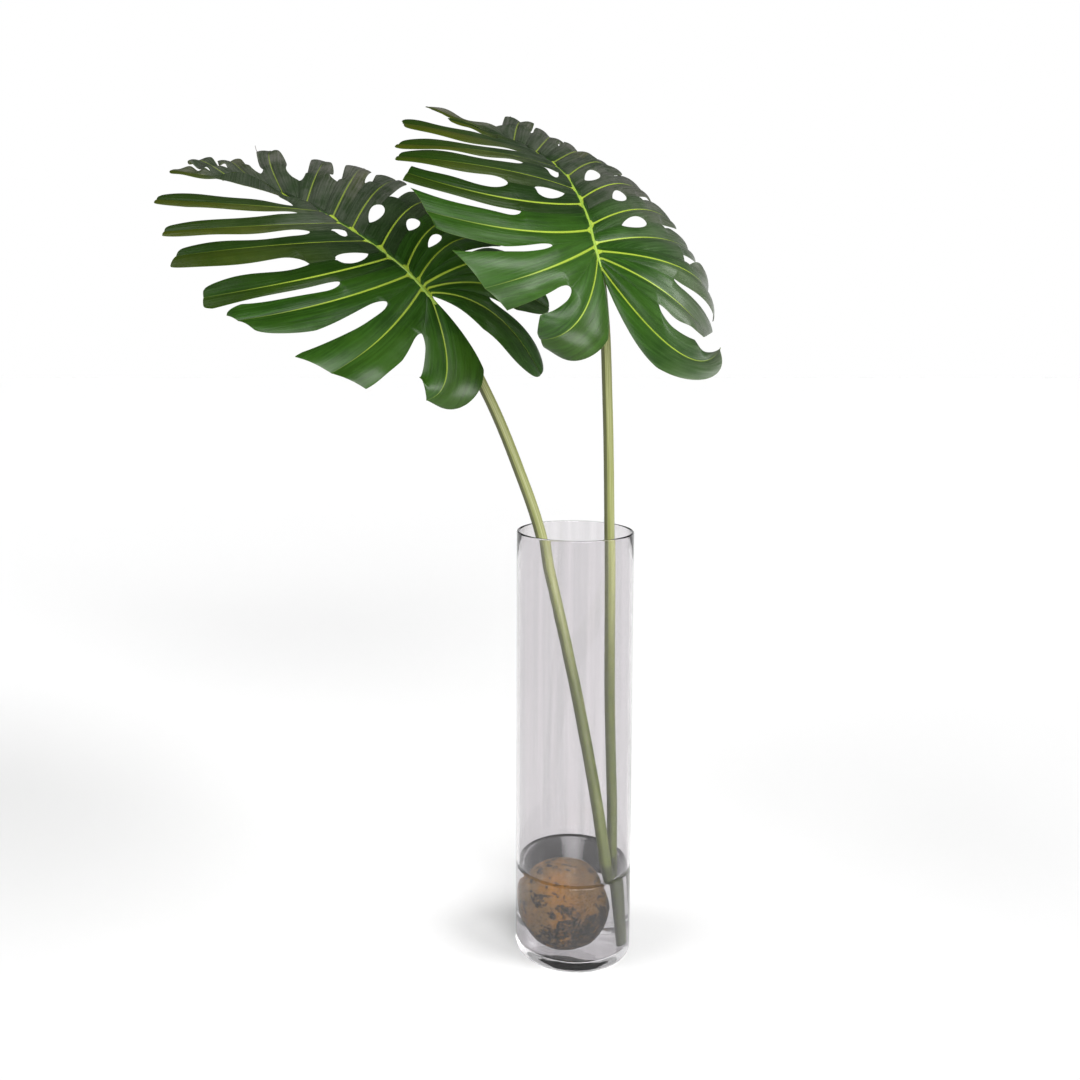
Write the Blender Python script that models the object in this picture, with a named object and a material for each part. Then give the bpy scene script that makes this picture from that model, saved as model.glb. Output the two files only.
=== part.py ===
"""Two cut split-leaf monstera leaves standing in a glass cylinder with water and a stone.

Metres, +Z up. The origin is the centre of the vase's underside, +X is to the viewer's right
and -Y faces the viewer.
"""
import math
from collections import namedtuple

import bmesh
import bpy
import numpy as np

GAP = 0.0003

# The vase is a straight pressed-glass cylinder with a thick flat base.
VASE_RADIUS = 0.0625
VASE_HEIGHT = 0.460
VASE_WALL = 0.003
VASE_BASE = 0.010
VASE_HEEL = 0.0045
VASE_SIDES = 48

WATER_LEVEL = 0.094

# The stone is a round river cobble that lies on the glass floor and leans back a little.
STONE_SIZE = (0.085, 0.076, 0.082)
STONE_CENTRE = (-0.011, -0.012)
STONE_LEAN = 0.15
STONE_SIDES = 24
STONE_RINGS = 12

# The stems stand on the glass floor.
STEM_FOOT = VASE_BASE + GAP
HOLE_DEPTH = 0.002
PETIOLE_SIDES = 10
PETIOLE_RINGS = 26
KNEE = 0.955

# A blade is 1 mm thick, with a keel under its midrib and under each lateral vein.
BLADE_THICKNESS = 0.0010
MIDRIB_KEEL = 0.0030
VEIN_KEEL = 0.0010
MIDRIB_STATIONS = 24
ROWS = np.array((
    0.05, 0.10, 0.15, 0.20, 0.26, 0.33, 0.40, 0.48, 0.57, 0.67, 0.77, 0.87, 0.94, 0.98, 1.0,
))
BULGE = 0.07
SLOT_ROUND = 0.10
HOLE_WIDTH = 0.55
LONG_EDGE = 0.55
SHORT_EDGE = 0.84
LEAN_START = 0.60
SINUS = 0.50

# station: where the vein leaves the midrib, 0 at the petiole and 1 at the leaf's tip
# tip: where the lobe ends
# widths: from the vein to the edge on the petiole's side and to the one on the apex side
# slot: where the cut on the lobe's apex side ends, as a share of the vein
# arch and lead: how far the vein bows up and towards the leaf's tip, as shares of its length
# hole: the window beside the vein, on its apex side, as two shares of the vein
# blunt and slant: how wide the lobe's end stays, and how far its corners lean to the apex
# part: where the cut runs between this vein and the next. gap: the share of the web it takes
# point: how sharply the lobe narrows to its tip
Lobe = namedtuple("Lobe", "station tip widths slot arch lead hole blunt slant part gap point",
                  defaults=(0.0, 0.0, None, 0.15, 0.0, 0.5, 0.14, 1.0))
Leaf = namedtuple("Leaf", "name midrib near far end petiole radius")

LEFT_LEAF = Leaf(
    name="leaf_left",
    midrib=(
        (-0.151, 0.080, 0.702), (-0.183, 0.105, 0.738), (-0.219, 0.135, 0.767),
        (-0.258, 0.170, 0.793), (-0.302, 0.210, 0.820), (-0.350, 0.250, 0.843),
        (-0.426, 0.290, 0.867), (-0.515, 0.330, 0.887),
    ),
    near=(
        Lobe(0.026, (-0.160, 0.025, 0.598), (0.040, 0.027), 0.33, 0.05, -0.30,
             blunt=0.00, gap=0.18, point=2.5),
        Lobe(0.058, (-0.261, 0.015, 0.627), (0.036, 0.038), 0.27, 0.00, -0.07,
             blunt=0.95, slant=0.60, gap=0.28),
        Lobe(0.105, (-0.363, 0.030, 0.683), (0.032, 0.025), 0.39, 0.01, -0.05,
             blunt=0.40, slant=0.44, part=0.59, gap=0.29),
        Lobe(0.181, (-0.410, 0.070, 0.709), (0.026, 0.023), 0.46, 0.08, -0.13,
             hole=(0.11, 0.31), blunt=0.47, slant=0.07, part=0.34, gap=0.12),
        Lobe(0.270, (-0.452, 0.115, 0.758), (0.028, 0.017), 0.29, 0.06, -0.08,
             hole=(0.06, 0.15), blunt=0.58, slant=-0.13, part=0.56),
        Lobe(0.385, (-0.481, 0.170, 0.791), (0.014, 0.016), 0.32, 0.08, -0.16,
             blunt=0.55, slant=0.06, part=0.72, gap=0.10),
        Lobe(0.466, (-0.507, 0.230, 0.836), (0.017, 0.020), 0.20, 0.12, -0.36,
             blunt=0.42, slant=0.13, part=0.30),
    ),
    far=(
        Lobe(0.038, (-0.032, 0.110, 0.622), (0.034, 0.021), 0.50, 0.15, 0.07),
        Lobe(0.050, (-0.020, 0.160, 0.700), (0.030, 0.030), 0.45, 0.08, 0.07),
        Lobe(0.062, (-0.050, 0.205, 0.750), (0.029, 0.029), 0.45, 0.14, 0.01),
        Lobe(0.078, (-0.080, 0.240, 0.785), (0.028, 0.028), 0.60, 0.07, 0.11, hole=(0.27, 0.45)),
        Lobe(0.123, (-0.110, 0.270, 0.812), (0.028, 0.028), 0.60, 0.07, 0.11, hole=(0.29, 0.45)),
        Lobe(0.222, (-0.160, 0.300, 0.843), (0.028, 0.028), 0.55, 0.07, 0.05,
             hole=(0.15, 0.39), part=0.62, gap=0.22),
        Lobe(0.337, (-0.215, 0.330, 0.873), (0.027, 0.031), 0.57, 0.07, 0.02,
             slant=-0.37, gap=0.19),
        Lobe(0.417, (-0.262, 0.350, 0.892), (0.026, 0.026), 0.42, 0.10, -0.03, part=0.34, gap=0.10),
        Lobe(0.526, (-0.315, 0.370, 0.904), (0.022, 0.025), 0.28, 0.07, -0.01,
             blunt=0.19, part=0.34, gap=0.40),
        Lobe(0.616, (-0.390, 0.385, 0.920), (0.024, 0.023), 0.26, 0.07, 0.09, part=0.46, gap=0.38),
        Lobe(0.704, (-0.450, 0.390, 0.905), (0.017, 0.017), 0.34, 0.07, 0.11),
        Lobe(0.780, (-0.495, 0.385, 0.905), (0.014, 0.014), 0.34, 0.07, 0.14),
    ),
    end=Lobe(0.82, (-0.515, 0.330, 0.887), (0.018, 0.018), 0.0),
    petiole=(
        (0.044, -0.016, STEM_FOOT), (0.030, -0.006, 0.129), (0.007, 0.010, 0.261),
        (-0.025, 0.030, 0.406), (-0.0375, 0.0355, 0.458), (-0.060, 0.045, 0.522),
        (-0.092, 0.059, 0.598), (-0.126, 0.072, 0.659), (-0.1555, 0.0835, 0.6928),
        (-0.187, 0.108, 0.7308),
    ),
    radius=(0.0068, 0.0060, 0.0020),
)

RIGHT_LEAF = Leaf(
    name="leaf_right",
    midrib=(
        (0.018, -0.060, 0.735), (0.013, -0.045, 0.758), (0.009, -0.020, 0.786),
        (0.003, 0.010, 0.809), (-0.008, 0.045, 0.837), (-0.024, 0.085, 0.860),
        (-0.047, 0.130, 0.881), (-0.073, 0.165, 0.899), (-0.115, 0.200, 0.923),
        (-0.168, 0.230, 0.950),
    ),
    near=(
        Lobe(0.036, (-0.044, -0.120, 0.664), (0.034, 0.031), 0.44, 0.12, -0.28,
             blunt=0.30, gap=0.27, point=2.0),
        Lobe(0.061, (-0.097, -0.150, 0.711), (0.034, 0.045), 0.36, 0.07, -0.07,
             blunt=0.91, slant=0.44, part=0.56, gap=0.16),
        Lobe(0.114, (-0.151, -0.135, 0.782), (0.021, 0.035), 0.45, 0.05, -0.12,
             blunt=0.62, slant=0.55, part=0.62, gap=0.24),
        Lobe(0.223, (-0.170, -0.110, 0.820), (0.028, 0.029), 0.48, 0.03, -0.14,
             hole=(0.11, 0.32), blunt=0.51, slant=-0.05, part=0.54, gap=0.36),
        Lobe(0.292, (-0.181, -0.075, 0.841), (0.025, 0.023), 0.33, 0.08, -0.09,
             hole=(0.06, 0.19), blunt=0.39, slant=-0.10, part=0.67),
        Lobe(0.415, (-0.184, -0.030, 0.860), (0.023, 0.022), 0.26, 0.07, -0.13,
             blunt=0.35, slant=-0.13),
        Lobe(0.519, (-0.184, 0.030, 0.892), (0.030, 0.026), 0.37, 0.03, -0.09,
             blunt=0.31, slant=0.06, part=0.44),
        Lobe(0.637, (-0.137, 0.100, 0.909), (0.017, 0.017), 0.32, 0.01, -0.03, blunt=0.30),
    ),
    far=(
        Lobe(0.012, (0.127, -0.115, 0.656), (0.030, 0.030), 0.41, 0.07, -0.40,
             blunt=0.00, part=0.64, gap=0.10, point=3.0),
        Lobe(0.030, (0.124, -0.060, 0.667), (0.027, 0.055), 0.52, 0.16, -0.08,
             blunt=0.80, slant=0.55, part=0.55, gap=0.10),
        Lobe(0.047, (0.137, 0.000, 0.709), (0.030, 0.038), 0.68, 0.24, -0.11,
             blunt=0.80, slant=-0.44, part=0.36, gap=0.10),
        Lobe(0.068, (0.127, 0.060, 0.761), (0.028, 0.028), 0.67, 0.10, 0.00,
             hole=(0.25, 0.50), blunt=0.50),
        Lobe(0.128, (0.118, 0.115, 0.795), (0.027, 0.027), 0.60, 0.07, 0.07, hole=(0.29, 0.45)),
        Lobe(0.242, (0.095, 0.165, 0.825), (0.027, 0.027), 0.50, 0.07, 0.07, hole=(0.15, 0.37)),
        Lobe(0.352, (0.060, 0.205, 0.860), (0.026, 0.026), 0.40, 0.07, 0.05),
        Lobe(0.450, (0.020, 0.245, 0.889), (0.024, 0.024), 0.38, 0.07, -0.06),
        Lobe(0.552, (-0.015, 0.270, 0.907), (0.022, 0.022), 0.36, 0.07, -0.05),
        Lobe(0.662, (-0.045, 0.285, 0.921), (0.020, 0.020), 0.34, 0.07, 0.03),
    ),
    end=Lobe(0.73, (-0.168, 0.230, 0.950), (0.018, 0.018), 0.0),
    petiole=(
        (0.046, 0.018, STEM_FOOT), (0.044, 0.008, 0.130), (0.037, -0.014, 0.278),
        (0.032, -0.0405, 0.457), (0.027, -0.054, 0.603), (0.022, -0.059, 0.690),
        (0.018, -0.053, 0.729), (0.013, -0.039, 0.753), (0.0095, -0.015, 0.7815),
    ),
    radius=(0.0061, 0.0050, 0.0018),
)


def clear_scene():
    for thing in list(bpy.data.objects):
        bpy.data.objects.remove(thing, do_unlink=True)


def finish(name, colour, roughness, alpha=1.0):
    material = bpy.data.materials.new(name)
    material.use_nodes = True
    shader = material.node_tree.nodes["Principled BSDF"]
    shader.inputs["Base Color"].default_value = (*colour, 1.0)
    shader.inputs["Roughness"].default_value = roughness
    shader.inputs["Metallic"].default_value = 0.0
    shader.inputs["Alpha"].default_value = alpha
    return material


def place(name, mesh, material):
    piece = bpy.data.objects.new(name, mesh)
    bpy.context.scene.collection.objects.link(piece)
    mesh.materials.append(material)
    return piece


def mesh_of(name, points, faces):
    mesh = bpy.data.meshes.new(name)
    mesh.from_pydata([tuple(point) for point in points], [], faces)
    mesh.validate()
    shape = bmesh.new()
    shape.from_mesh(mesh)
    bmesh.ops.recalc_face_normals(shape, faces=shape.faces)
    shape.to_mesh(mesh)
    shape.free()
    mesh.shade_smooth()
    return mesh


def unit(vectors):
    return vectors / np.maximum(np.linalg.norm(vectors, axis=-1, keepdims=True), 1e-9)


def arc(centre, radius, start, end, steps):
    """Points of a profile's rounded corner, in (radius, height), from start to end degrees."""
    angles = np.radians(np.linspace(start, end, steps + 1))
    return [(centre[0] + radius * math.cos(a), centre[1] + radius * math.sin(a)) for a in angles]


def turned(name, profile, sides, centre=(0.0, 0.0), stretch=(1.0, 1.0)):
    """A closed solid of revolution from a profile that starts and ends on the axis."""
    points = [(centre[0], centre[1], profile[0][1])]
    for radius, height in profile[1:-1]:
        for step in range(sides):
            turn = 2 * math.pi * step / sides
            points.append((
                centre[0] + stretch[0] * radius * math.cos(turn),
                centre[1] + stretch[1] * radius * math.sin(turn),
                height,
            ))
    points.append((centre[0], centre[1], profile[-1][1]))
    faces = []
    rings = len(profile) - 2
    for step in range(sides):
        after = (step + 1) % sides
        faces.append((0, 1 + after, 1 + step))
        last = 1 + (rings - 1) * sides
        faces.append((last + step, last + after, len(points) - 1))
        for ring in range(rings - 1):
            low = 1 + ring * sides
            high = low + sides
            faces.append((low + step, low + after, high + after, high + step))
    return mesh_of(name, points, faces)


def through(points, shares):
    """A smooth curve through the points, read at shares of its length."""
    points = np.array(points)
    travelled = np.concatenate([[0.0], np.cumsum(np.linalg.norm(np.diff(points, axis=0), axis=1))])
    travelled /= travelled[-1]
    slopes = np.gradient(points, travelled, axis=0)
    shares = np.clip(np.atleast_1d(shares), 0.0, 1.0)
    span = np.clip(np.searchsorted(travelled, shares, side="right") - 1, 0, len(points) - 2)
    length = (travelled[span + 1] - travelled[span])[:, None]
    u = (shares[:, None] - travelled[span][:, None]) / length
    return (
        (2 * u**3 - 3 * u**2 + 1) * points[span]
        + (u**3 - 2 * u**2 + u) * length * slopes[span]
        + (3 * u**2 - 2 * u**3) * points[span + 1]
        + (u**3 - u**2) * length * slopes[span + 1]
    )


def vase():
    outer = VASE_RADIUS
    inner = VASE_RADIUS - VASE_WALL
    lip = VASE_WALL / 2
    profile = [(0.0, 0.0)]
    profile += arc((outer - VASE_HEEL, VASE_HEEL), VASE_HEEL, -90, 0, 4)
    profile += arc((outer - lip, VASE_HEIGHT - lip), lip, 0, 180, 6)
    profile += arc((inner - VASE_HEEL, VASE_BASE + VASE_HEEL), VASE_HEEL, 0, -90, 4)
    profile += [(0.0, VASE_BASE)]
    return turned("glass_vase", profile, VASE_SIDES)


def stone(grow=0.0):
    """A cobble: an ellipsoid with slightly flattened ends, standing on the glass floor."""
    half = [size / 2 + grow for size in STONE_SIZE]
    middle = VASE_BASE + GAP + STONE_SIZE[2] / 2
    profile = []
    for ring in range(STONE_RINGS + 1):
        turn = math.pi * ring / STONE_RINGS
        profile.append((math.sin(turn) ** 0.9, middle - half[2] * math.cos(turn)))
    profile[0] = (0.0, profile[0][1])
    profile[-1] = (0.0, profile[-1][1])
    mesh = turned("stone", profile, STONE_SIDES, STONE_CENTRE, half[:2])
    for vert in mesh.vertices:
        vert.co.y += STONE_LEAN * (vert.co.z - middle)
    return mesh


def petiole(leaf, grow=0.0):
    """A round stem swept along the petiole's points, tapering in under the midrib."""
    shares = np.linspace(0.0, 1.0, PETIOLE_RINGS)
    path = through(leaf.petiole, shares)
    foot, top, end = leaf.radius
    radii = foot + (top - foot) * shares
    taper = np.clip((shares - KNEE) / (1 - KNEE), 0.0, 1.0)
    radii = radii + (end - radii) * taper + grow
    along = unit(np.gradient(path, axis=0))
    along[0] = (0.0, 0.0, 1.0)
    path[0, 2] -= HOLE_DEPTH if grow else 0.0
    side = np.array((1.0, 0.0, 0.0))
    points = []
    for centre, direction, radius in zip(path, along, radii):
        side = unit(side - side @ direction * direction)
        other = np.cross(direction, side)
        for step in range(PETIOLE_SIDES):
            turn = 2 * math.pi * step / PETIOLE_SIDES
            points.append(centre + radius * (math.cos(turn) * side + math.sin(turn) * other))
    faces = []
    for ring in range(PETIOLE_RINGS - 1):
        for step in range(PETIOLE_SIDES):
            after = (step + 1) % PETIOLE_SIDES
            low = ring * PETIOLE_SIDES
            high = low + PETIOLE_SIDES
            faces.append((low + step, low + after, high + after, high + step))
    faces.append(tuple(range(PETIOLE_SIDES)))
    faces.append(tuple(len(points) - 1 - step for step in range(PETIOLE_SIDES)))
    return mesh_of(leaf.name + "_petiole", points, faces)


def veins(leaf, side):
    """Points of every lateral vein of one side, base to apex, and of the midrib's end."""
    lines = []
    for lobe in getattr(leaf, side):
        root = through(leaf.midrib, lobe.station)[0]
        ahead, behind = through(leaf.midrib, (lobe.station + 0.02, lobe.station - 0.02))
        forward = unit(ahead - behind)
        chord = np.array(lobe.tip) - root
        length = np.linalg.norm(chord)
        outward = unit(chord - chord @ forward * forward)
        upward = np.cross(forward, outward)
        if side == "far":
            upward = -upward
        bend = root + chord / 2 + 2 * length * (lobe.arch * upward + lobe.lead * forward)
        t = ROWS[:, None]
        lines.append((1 - t)**2 * root + 2 * t * (1 - t) * bend + t**2 * np.array(lobe.tip))
    lines.append(through(leaf.midrib, leaf.end.station + (1 - leaf.end.station) * ROWS))
    return np.array(lines)


def rounding(x):
    """Rises from 0 to 1 along a quarter of an ellipse."""
    x = np.clip(x, 0.0, 1.0)
    return np.sqrt(1 - (1 - x)**2)


def ease(x):
    x = np.clip(x, 0.0, 1.0)
    return x * x * (3 - 2 * x)


def lobe_edge(lobe, vein, along, across, towards_apex, neighbour, cut):
    """One edge of a lobe: it meets its neighbour in the web, then runs free to the tip.

    cut is the lobe whose slot and hole lie on this edge.
    """
    straight = SHORT_EDGE if towards_apex else LONG_EDGE
    taper = rounding(1 - (ROWS - straight) / (1 - straight))
    width = lobe.widths[towards_apex]
    free = (width * (lobe.blunt + (1 - lobe.blunt) * taper**lobe.point))[:, None]
    lean = lobe.slant * width * ease((ROWS - LEAN_START) / (1 - LEAN_START))[:, None] * along
    vein = vein + lean if towards_apex else vein - lean
    if neighbour is None:
        return vein + across * free * (np.clip(ROWS / SINUS, 0.0, 1.0) ** 0.8)[:, None]
    half = (neighbour - vein) * (cut.part if towards_apex else 1 - cut.part)
    reach = np.linalg.norm(half, axis=1, keepdims=True)
    opened = rounding((ROWS - cut.slot) / SLOT_ROUND)[:, None]
    spread = ease((ROWS - cut.slot) / (1 - cut.slot))[:, None]
    direction = unit(unit(half) * (1 - spread) + across * spread)
    distance = reach * (1 - opened) + np.minimum(free, reach * (1 - cut.gap)) * opened
    if cut.hole:
        start, end = cut.hole
        inside = np.clip((ROWS - start) / (end - start), 0.0, 1.0)
        distance = distance * (1 - HOLE_WIDTH * np.sqrt(np.sin(math.pi * inside).clip(0)))[:, None]
    return vein + direction * distance


def opening(cut):
    """Which rows lie beside a cut's slot or hole."""
    rows = ROWS > cut.slot + 1e-6
    if cut.hole:
        rows |= (ROWS > cut.hole[0] + 1e-6) & (ROWS < cut.hole[1] - 1e-6)
    return rows


def blade(leaf):
    """The blade's middle surface, thickened downwards along its ribs."""
    points = []
    keels = []
    faces = []

    def put(point, keel=0.0):
        points.append(point)
        keels.append(keel)
        return len(points) - 1

    def quad(a, b, c, d, side):
        for face in ((a, b, c), (a, c, d)):
            if len(set(face)) == 3:
                faces.append(face if side == "near" else face[::-1])

    end_start = leaf.end.station + (1 - leaf.end.station) * ROWS[0]
    stations = np.linspace(0.0, end_start, MIDRIB_STATIONS)
    midrib = [put(p, MIDRIB_KEEL * (1 - s)) for p, s in zip(through(leaf.midrib, stations), stations)]
    tip_line = [midrib[-1]]
    ends = leaf.end.station + (1 - leaf.end.station) * ROWS[1:]
    tip_line += [put(p, MIDRIB_KEEL * (1 - s)) for p, s in zip(through(leaf.midrib, ends), ends)]

    for side in ("near", "far"):
        lobes = list(getattr(leaf, side)) + [leaf.end]
        lines = veins(leaf, side)
        along = unit(np.gradient(lines, axis=1))
        hem = []
        hem_stations = []
        previous = None
        for number, (lobe, line) in enumerate(zip(lobes, lines)):
            before = lines[number - 1] if number else None
            after = lines[number + 1] if number + 1 < len(lobes) else None
            across = (line if after is None else after) - (line if before is None else before)
            across = unit(across - (across * along[number]).sum(1, keepdims=True) * along[number])
            up = np.cross(across, along[number])
            if side == "far":
                up = -up
            low_edge = lobe_edge(lobe, line, along[number], -across, False, before, lobes[number - 1])
            columns = [(low_edge, 0.0), None, (line, VEIN_KEEL)]
            if after is not None:
                columns += [None, (lobe_edge(lobe, line, along[number], across, True, after, lobe), 0.0)]
            for gap in range(1, len(columns), 2):
                one = columns[gap - 1][0]
                two = columns[gap + 1][0]
                bow = BULGE * np.linalg.norm(two - one, axis=1, keepdims=True)
                columns[gap] = ((one + two) / 2 + bow * up, 0.0)
            shut = ~opening(lobes[number - 1]) if number else np.zeros(len(ROWS), bool)
            grid = []
            for row in range(len(ROWS)):
                across_row = []
                for column, (line_points, keel) in enumerate(columns):
                    if column == 0 and shut[row]:
                        across_row.append(previous[row][-1])
                    elif after is None and column == 2:
                        across_row.append(tip_line[row])
                    else:
                        across_row.append(put(line_points[row], keel * (1 - ROWS[row])))
                grid.append(across_row)
            for row in range(len(ROWS) - 1):
                for column in range(len(columns) - 1):
                    quad(grid[row][column], grid[row][column + 1],
                         grid[row + 1][column + 1], grid[row + 1][column], side)
            first = (lobes[number - 1].station + lobe.station) / 2 if number else 0.0
            last = end_start if after is None else (lobe.station + lobes[number + 1].station) / 2
            middle = end_start if after is None else lobe.station
            spread = [first, (first + middle) / 2, middle, (middle + last) / 2, last]
            for column in range(1 if number else 0, len(columns)):
                hem.append(grid[0][column])
                hem_stations.append(spread[column])
            previous = grid
        zip_up(midrib, stations, hem, hem_stations, faces, side)
    return thickened(leaf.name + "_blade", np.array(points), np.array(keels), faces)


def zip_up(midrib, stations, hem, hem_stations, faces, side):
    """Joins the midrib to the first row of one side by a strip of triangles."""
    one = 0
    two = 0
    while one < len(midrib) - 1 or two < len(hem) - 1:
        step_hem = one == len(midrib) - 1 or (
            two < len(hem) - 1 and hem_stations[two + 1] <= stations[one + 1]
        )
        if step_hem:
            face = (midrib[one], hem[two + 1], hem[two])
            two += 1
        else:
            face = (midrib[one], midrib[one + 1], hem[two])
            one += 1
        if len(set(face)) == 3:
            faces.append(face if side == "near" else face[::-1])


def thickened(name, points, keels, faces):
    """A closed solid round a surface, with both faces split alike."""
    faces = np.array(faces)
    corners = points[faces]
    facing = np.cross(corners[:, 1] - corners[:, 0], corners[:, 2] - corners[:, 0])
    normals = np.zeros_like(points)
    for corner in range(3):
        np.add.at(normals, faces[:, corner], facing)
    normals = unit(normals)
    top = points + normals * BLADE_THICKNESS / 2
    bottom = points - normals * (BLADE_THICKNESS / 2 + keels)[:, None]
    count = len(points)
    solid = [tuple(face) for face in faces]
    solid += [tuple(face[::-1] + count) for face in faces]
    directed = {(a, b) for face in faces for a, b in zip(face, np.roll(face, -1))}
    for a, b in sorted(directed):
        if (b, a) not in directed:
            solid.append((b, a, a + count))
            solid.append((b, a + count, b + count))
    return mesh_of(name, np.concatenate([top, bottom]), solid)


def water(hollows):
    """The water fills the cylinder round the stone and the stems, a hair clear of each."""
    radius = VASE_RADIUS - VASE_WALL - GAP
    heel = VASE_HEEL
    floor = VASE_BASE + GAP
    profile = [(0.0, floor)]
    profile += arc((radius - heel, floor + heel), heel, -90, 0, 4)
    profile += [(radius, WATER_LEVEL), (0.0, WATER_LEVEL)]
    body = place("water", turned("water", profile, VASE_SIDES),
                 finish("clear_water", (0.85, 0.90, 0.90), 0.03, 0.35))
    for mesh in hollows:
        cutter = place("cutter_" + mesh.name, mesh, finish("cutter", (0.5, 0.5, 0.5), 0.5))
        cutter.hide_render = True
        cutter.display_type = "WIRE"
        cut = body.modifiers.new("cut", "BOOLEAN")
        cut.operation = "DIFFERENCE"
        cut.solver = "EXACT"
        cut.object = cutter
    return body


clear_scene()
place("glass_vase", vase(), finish("clear_glass", (0.93, 0.94, 0.96), 0.02, 0.25))
place("stone", stone(), finish("tan_stone", (0.42, 0.25, 0.12), 0.45))
leaf_green = (0.045, 0.155, 0.030)
stem_green = (0.26, 0.33, 0.09)
for leaf in (LEFT_LEAF, RIGHT_LEAF):
    place(leaf.name + "_blade", blade(leaf), finish(leaf.name + "_green", leaf_green, 0.3))
    place(leaf.name + "_petiole", petiole(leaf), finish(leaf.name + "_stem", stem_green, 0.4))
water([stone(GAP), petiole(LEFT_LEAF, GAP), petiole(RIGHT_LEAF, GAP)])
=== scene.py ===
"""Two cut split-leaf monstera leaves standing in a glass cylinder with water and a stone.

Metres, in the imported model's frame: the origin is the centre of the vase's underside, +X is to
the viewer's right, -Y faces the viewer and +Z is up.
"""
import math
from collections import namedtuple

import bmesh
import bpy
import numpy as np
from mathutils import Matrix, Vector, noise
from mathutils.kdtree import KDTree


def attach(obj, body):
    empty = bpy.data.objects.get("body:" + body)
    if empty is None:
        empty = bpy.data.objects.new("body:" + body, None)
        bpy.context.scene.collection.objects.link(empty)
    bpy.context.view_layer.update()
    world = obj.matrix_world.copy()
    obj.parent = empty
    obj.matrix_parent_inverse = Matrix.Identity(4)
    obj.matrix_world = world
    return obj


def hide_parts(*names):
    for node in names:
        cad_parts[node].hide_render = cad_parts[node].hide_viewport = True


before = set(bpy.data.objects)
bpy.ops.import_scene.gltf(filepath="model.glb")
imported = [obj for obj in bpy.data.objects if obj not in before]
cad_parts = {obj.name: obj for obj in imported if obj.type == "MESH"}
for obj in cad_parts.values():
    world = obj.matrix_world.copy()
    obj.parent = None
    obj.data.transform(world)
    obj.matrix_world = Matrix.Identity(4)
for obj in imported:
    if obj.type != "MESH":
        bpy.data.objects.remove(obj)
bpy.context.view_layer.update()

# The vase is a straight cylinder of clear pressed glass with a thick flat foot. Its rim is
# fire-polished, and its foot has a shallow dish underneath, so it stands on a ring.
VASE_RADIUS = 0.0625
VASE_HEIGHT = 0.460
VASE_WALL = 0.003
VASE_BASE = 0.010
VASE_HEEL = 0.0045
VASE_SIDES = 192
WALL_MARGIN = 0.03
WALL_STEPS = 12
HEEL_STEPS = 10
DISH_RADIUS = 0.044
DISH_DEPTH = 0.0011
GLASS_IOR = 1.48
GLASS_CLEAR = (0.835, 0.815, 0.830)
GLASS_GREY = (0.765, 0.750, 0.765)
DRAWN_LINES = (60.0, 60.0, 4.0)
REFLECTION_BAND_SCALE = (95.0, 95.0, 1.2)


class Value:
    """A shader socket that takes part in expressions."""

    def __init__(self, tree, socket):
        self.tree = tree
        self.socket = socket

    def maths(self, operation, *inputs):
        return self.tree.add("ShaderNodeMath", {"operation": operation}, dict(enumerate(inputs)))

    def __add__(self, other):
        return self.maths("ADD", self, other)

    def __radd__(self, other):
        return self.maths("ADD", other, self)

    def __sub__(self, other):
        return self.maths("SUBTRACT", self, other)

    def __rsub__(self, other):
        return self.maths("SUBTRACT", other, self)

    def __mul__(self, other):
        return self.maths("MULTIPLY", self, other)

    def __rmul__(self, other):
        return self.maths("MULTIPLY", other, self)

    def most(self, other):
        return self.maths("MAXIMUM", self, other)

    def rise(self, start, end):
        """0 up to start, 1 from end on, and smooth between them. It falls where end is lower."""
        return self.tree.add("ShaderNodeMapRange", {"interpolation_type": "SMOOTHSTEP"}, {
            "Value": self, "From Min": min(start, end), "From Max": max(start, end),
            "To Min": float(start > end), "To Max": float(start < end),
        })


class Tree:
    """The nodes of a material or of the world."""

    def __init__(self, tree):
        self.nodes = tree.nodes
        self.links = tree.links

    def add(self, kind, settings=None, inputs=None, out=0):
        """Adds a node, sets it up, fills or links its sockets, and gives one of its outputs."""
        node = self.nodes.new(kind)
        for name, value in (settings or {}).items():
            setattr(node, name, value)
        for name, value in (inputs or {}).items():
            self.join(node.inputs[name], value)
        return Value(self, node.outputs[out])

    def join(self, socket, value):
        if isinstance(value, Value):
            self.links.new(value.socket, socket)
        elif isinstance(value, tuple) and len(value) == 3 and socket.type == "RGBA":
            socket.default_value = (*value, 1.0)
        else:
            socket.default_value = value

    def place(self, kind="Object"):
        return self.add("ShaderNodeTexCoord", out=kind)

    def axis(self, vector, number):
        """One of the three numbers of a vector."""
        return self.add("ShaderNodeSeparateXYZ", None, {0: vector}, out=number)


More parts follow.
